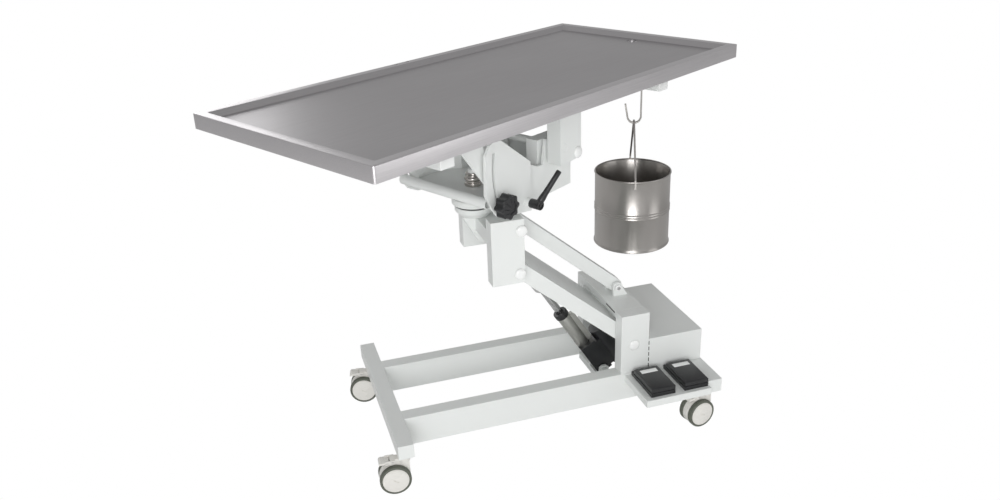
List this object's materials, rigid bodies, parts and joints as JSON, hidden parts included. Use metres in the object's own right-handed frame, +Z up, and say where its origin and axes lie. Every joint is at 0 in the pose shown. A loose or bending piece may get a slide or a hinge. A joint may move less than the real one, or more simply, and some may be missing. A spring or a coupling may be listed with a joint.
{
  "type": "veterinary operating table",
  "caption": "Electric-lift operating table: draining stainless tray on a tilting, swivelling head, parallelogram arm, braked caster base and hanging bucket.",
  "frame": {"origin": "on the floor under the middle of the tray at rest", "axes": "+X along the base rails towards the column, +Y across them to the back, +Z up from the floor"},
  "size_m": [1.4342, 1.1806, 0.962],
  "materials": {
    "black_plastic": "fine grained",
    "bright_steel": "ground",
    "bucket_steel": "brushed",
    "caster_plastic": "smooth",
    "chrome": "polished",
    "tray_steel": "lengthwise brushed",
    "tyre": "matt",
    "white_enamel": "smooth powder coat",
    "white_plastic": "smooth"
  },
  "bodies": {
    "base": {"crossbar_left": "white_enamel", "crossbar_right": "white_enamel", "rail_near": "white_enamel", "rail_far": "white_enamel", "upright_near": "white_enamel", "upright_far": "white_enamel", "column_beam": "white_enamel", "link_lugs": "white_enamel", "column_pins": "white_enamel", "actuator_mount": "white_enamel", "control_box": "white_enamel", "pedal_shelf": "white_enamel", "pedal_base_left": "black_plastic", "pedal_base_right": "black_plastic"},
    "treadle_left": {"pedal_treadle_left": "black_plastic"},
    "treadle_right": {"pedal_treadle_right": "black_plastic"},
    "arm": {"lower_arm": "white_enamel", "arm_clevis_pin": "bright_steel"},
    "link": {"upper_link": "white_enamel"},
    "actuator": {"actuator_motor": "black_plastic", "actuator_tube": "white_enamel", "actuator_collar": "black_plastic"},
    "rod": {"actuator_rod": "bright_steel"},
    "head": {"head_cheek_near": "white_enamel", "head_cheek_far": "white_enamel", "head_beam": "white_enamel", "head_pins": "white_enamel", "turntable_base": "white_enamel", "turntable_nut": "chrome"},
    "swivel": {"turntable_seal": "black_plastic", "turntable_disc": "white_enamel", "swivel_plate": "white_enamel", "swivel_tube": "white_enamel", "side_plate_near": "white_enamel", "side_plate_far": "white_enamel", "tilt_blocks": "white_enamel"},
    "lever": {"clamp_lever": "black_plastic"},
    "tilt": {"tilt_axle": "white_enamel", "tilt_posts": "white_enamel", "under_frame": "white_enamel", "frame_end_caps": "white_plastic", "tilt_arms": "white_enamel", "tray": "tray_steel", "drain_spigot": "tray_steel", "bucket_hook": "bucket_steel"},
    "knob": {"star_knob": "black_plastic"},
    "bail": {"bail": "bucket_steel"},
    "bucket": {"bucket": "bucket_steel"},
    "fork_near_left": {"caster_fork_near_left": "caster_plastic"},
    "wheels_near_left": {"caster_wheels_near_left": "tyre"},
    "brake_near_left": {"caster_brake_near_left": "caster_plastic"},
    "fork_far_left": {"caster_fork_far_left": "caster_plastic"},
    "wheels_far_left": {"caster_wheels_far_left": "tyre"},
    "brake_far_left": {"caster_brake_far_left": "caster_plastic"},
    "fork_near_right": {"caster_fork_near_right": "caster_plastic"},
    "wheels_near_right": {"caster_wheels_near_right": "tyre"},
    "brake_near_right": {"caster_brake_near_right": "caster_plastic"},
    "fork_far_right": {"caster_fork_far_right": "caster_plastic"},
    "wheels_far_right": {"caster_wheels_far_right": "tyre"},
    "brake_far_right": {"caster_brake_far_right": "caster_plastic"}
  },
  "joints": [
    {"name": "lift", "type": "hinge", "parent": "base", "child": "arm", "pos_m": [0.30495, -0.04523, 0.2404], "axis": [0, 1, 0], "range_deg": [-24, 4.9]},
    {"name": "head_level", "type": "hinge", "parent": "arm", "child": "head", "pos_m": [-0.01097, -0.04523, 0.50642], "axis": [0, 1, 0], "range_deg": [-4.9, 24]},
    {"name": "link_swing", "type": "hinge", "parent": "base", "child": "link", "pos_m": [0.31095, -0.04523, 0.3554], "axis": [0, 1, 0], "range_deg": [-24, 4.9]},
    {"name": "actuator_swing", "type": "hinge", "parent": "base", "child": "actuator", "pos_m": [0.26995, -0.04523, 0.105], "axis": [0, 1, 0], "range_deg": [-18.1, 3.7]},
    {"name": "rod_slide", "type": "slide", "parent": "actuator", "child": "rod", "axis": [-0.5326, 0, 0.8464], "range_m": [-0.0474, 0.0098]},
    {"name": "table_swivel", "type": "hinge", "parent": "head", "child": "swivel", "pos_m": [-0.07897, -0.04523, 0.70042], "axis": [0, 0, 1], "range_deg": [-119.8, 60.2]},
    {"name": "swivel_clamp", "type": "hinge", "parent": "swivel", "child": "lever", "pos_m": [0.01678, -0.1621, 0.68302], "axis": [-0.497, 0.8678, 0], "range_deg": [-45, 45]},
    {"name": "table_tilt", "type": "hinge", "parent": "swivel", "child": "tilt", "pos_m": [0.05727, 0.0328, 0.78902], "axis": [-0.497, 0.8678, 0], "range_deg": [0, 18]},
    {"name": "tilt_knob", "type": "hinge", "parent": "tilt", "child": "knob", "pos_m": [-0.14473, -0.08289, 0.70796], "axis": [-0.497, 0.8678, 0], "continuous": true},
    {"name": "bail_swing", "type": "hinge", "parent": "tilt", "child": "bail", "pos_m": [0.52435, 0.29009, 0.70252], "axis": [-0.497, 0.8678, 0], "range_deg": [-18, 0]},
    {"name": "bucket_tip", "type": "hinge", "parent": "bail", "child": "bucket", "pos_m": [0.52435, 0.29009, 0.53902], "axis": [0.3681, 0.9298, 0], "range_deg": [-12, 12]},
    {"name": "treadle_left_press", "type": "hinge", "parent": "base", "child": "treadle_left", "pos_m": [0.33245, -0.22123, 0.165], "axis": [1, 0, 0], "range_deg": [0, 4], "stiffness_Nm_per_rad": 3, "springref_deg": -3.44},
    {"name": "treadle_right_press", "type": "hinge", "parent": "base", "child": "treadle_right", "pos_m": [0.42845, -0.22123, 0.165], "axis": [1, 0, 0], "range_deg": [0, 4], "stiffness_Nm_per_rad": 3, "springref_deg": -3.44},
    {"name": "caster_swivel_near_left", "type": "hinge", "parent": "base", "child": "fork_near_left", "pos_m": [-0.35305, -0.26522, 0.117], "axis": [0, 0, 1], "continuous": true},
    {"name": "wheel_spin_near_left", "type": "hinge", "parent": "fork_near_left", "child": "wheels_near_left", "pos_m": [-0.37895, -0.26296, 0.04], "axis": [-0.0872, -0.9962, 0], "continuous": true},
    {"name": "brake_press_near_left", "type": "hinge", "parent": "fork_near_left", "child": "brake_near_left", "pos_m": [-0.38294, -0.26261, 0.088], "axis": [-0.0872, -0.9962, 0], "range_deg": [0, 10]},
    {"name": "caster_swivel_far_left", "type": "hinge", "parent": "base", "child": "fork_far_left", "pos_m": [-0.35305, 0.17478, 0.117], "axis": [0, 0, 1], "continuous": true},
    {"name": "wheel_spin_far_left", "type": "hinge", "parent": "fork_far_left", "child": "wheels_far_left", "pos_m": [-0.37839, 0.18062, 0.04], "axis": [-0.225, -0.9744, 0], "continuous": true},
    {"name": "brake_press_far_left", "type": "hinge", "parent": "fork_far_left", "child": "brake_far_left", "pos_m": [-0.38228, 0.18152, 0.088], "axis": [-0.225, -0.9744, 0], "range_deg": [0, 10]},
    {"name": "caster_swivel_near_right", "type": "hinge", "parent": "base", "child": "fork_near_right", "pos_m": [0.49195, -0.26522, 0.117], "axis": [0, 0, 1], "continuous": true},
    {"name": "wheel_spin_near_right", "type": "hinge", "parent": "fork_near_right", "child": "wheels_near_right", "pos_m": [0.46627, -0.26929, 0.04], "axis": [0.1564, -0.9877, 0], "continuous": true},
    {"name": "brake_press_near_right", "type": "hinge", "parent": "fork_near_right", "child": "brake_near_right", "pos_m": [0.46231, -0.26992, 0.088], "axis": [0.1564, -0.9877, 0], "range_deg": [0, 10]},
    {"name": "caster_swivel_far_right", "type": "hinge", "parent": "base", "child": "fork_far_right", "pos_m": [0.49195, 0.17478, 0.117], "axis": [0, 0, 1], "continuous": true},
    {"name": "wheel_spin_far_right", "type": "hinge", "parent": "fork_far_right", "child": "wheels_far_right", "pos_m": [0.46595, 0.17478, 0.04], "axis": [0, -1, 0], "continuous": true},
    {"name": "brake_press_far_right", "type": "hinge", "parent": "fork_far_right", "child": "brake_far_right", "pos_m": [0.46195, 0.17478, 0.088], "axis": [0, -1, 0], "range_deg": [0, 10]}
  ],
  "couplings": [
    {"joint": "head_level", "follows": "lift", "ratio": -1},
    {"joint": "link_swing", "follows": "lift", "ratio": 1},
    {"joint": "actuator_swing", "follows": "lift", "ratio": 0.75},
    {"joint": "rod_slide", "follows": "lift", "m_per_rad": 0.11275},
    {"joint": "bail_swing", "follows": "table_tilt", "ratio": -1}
  ]
}
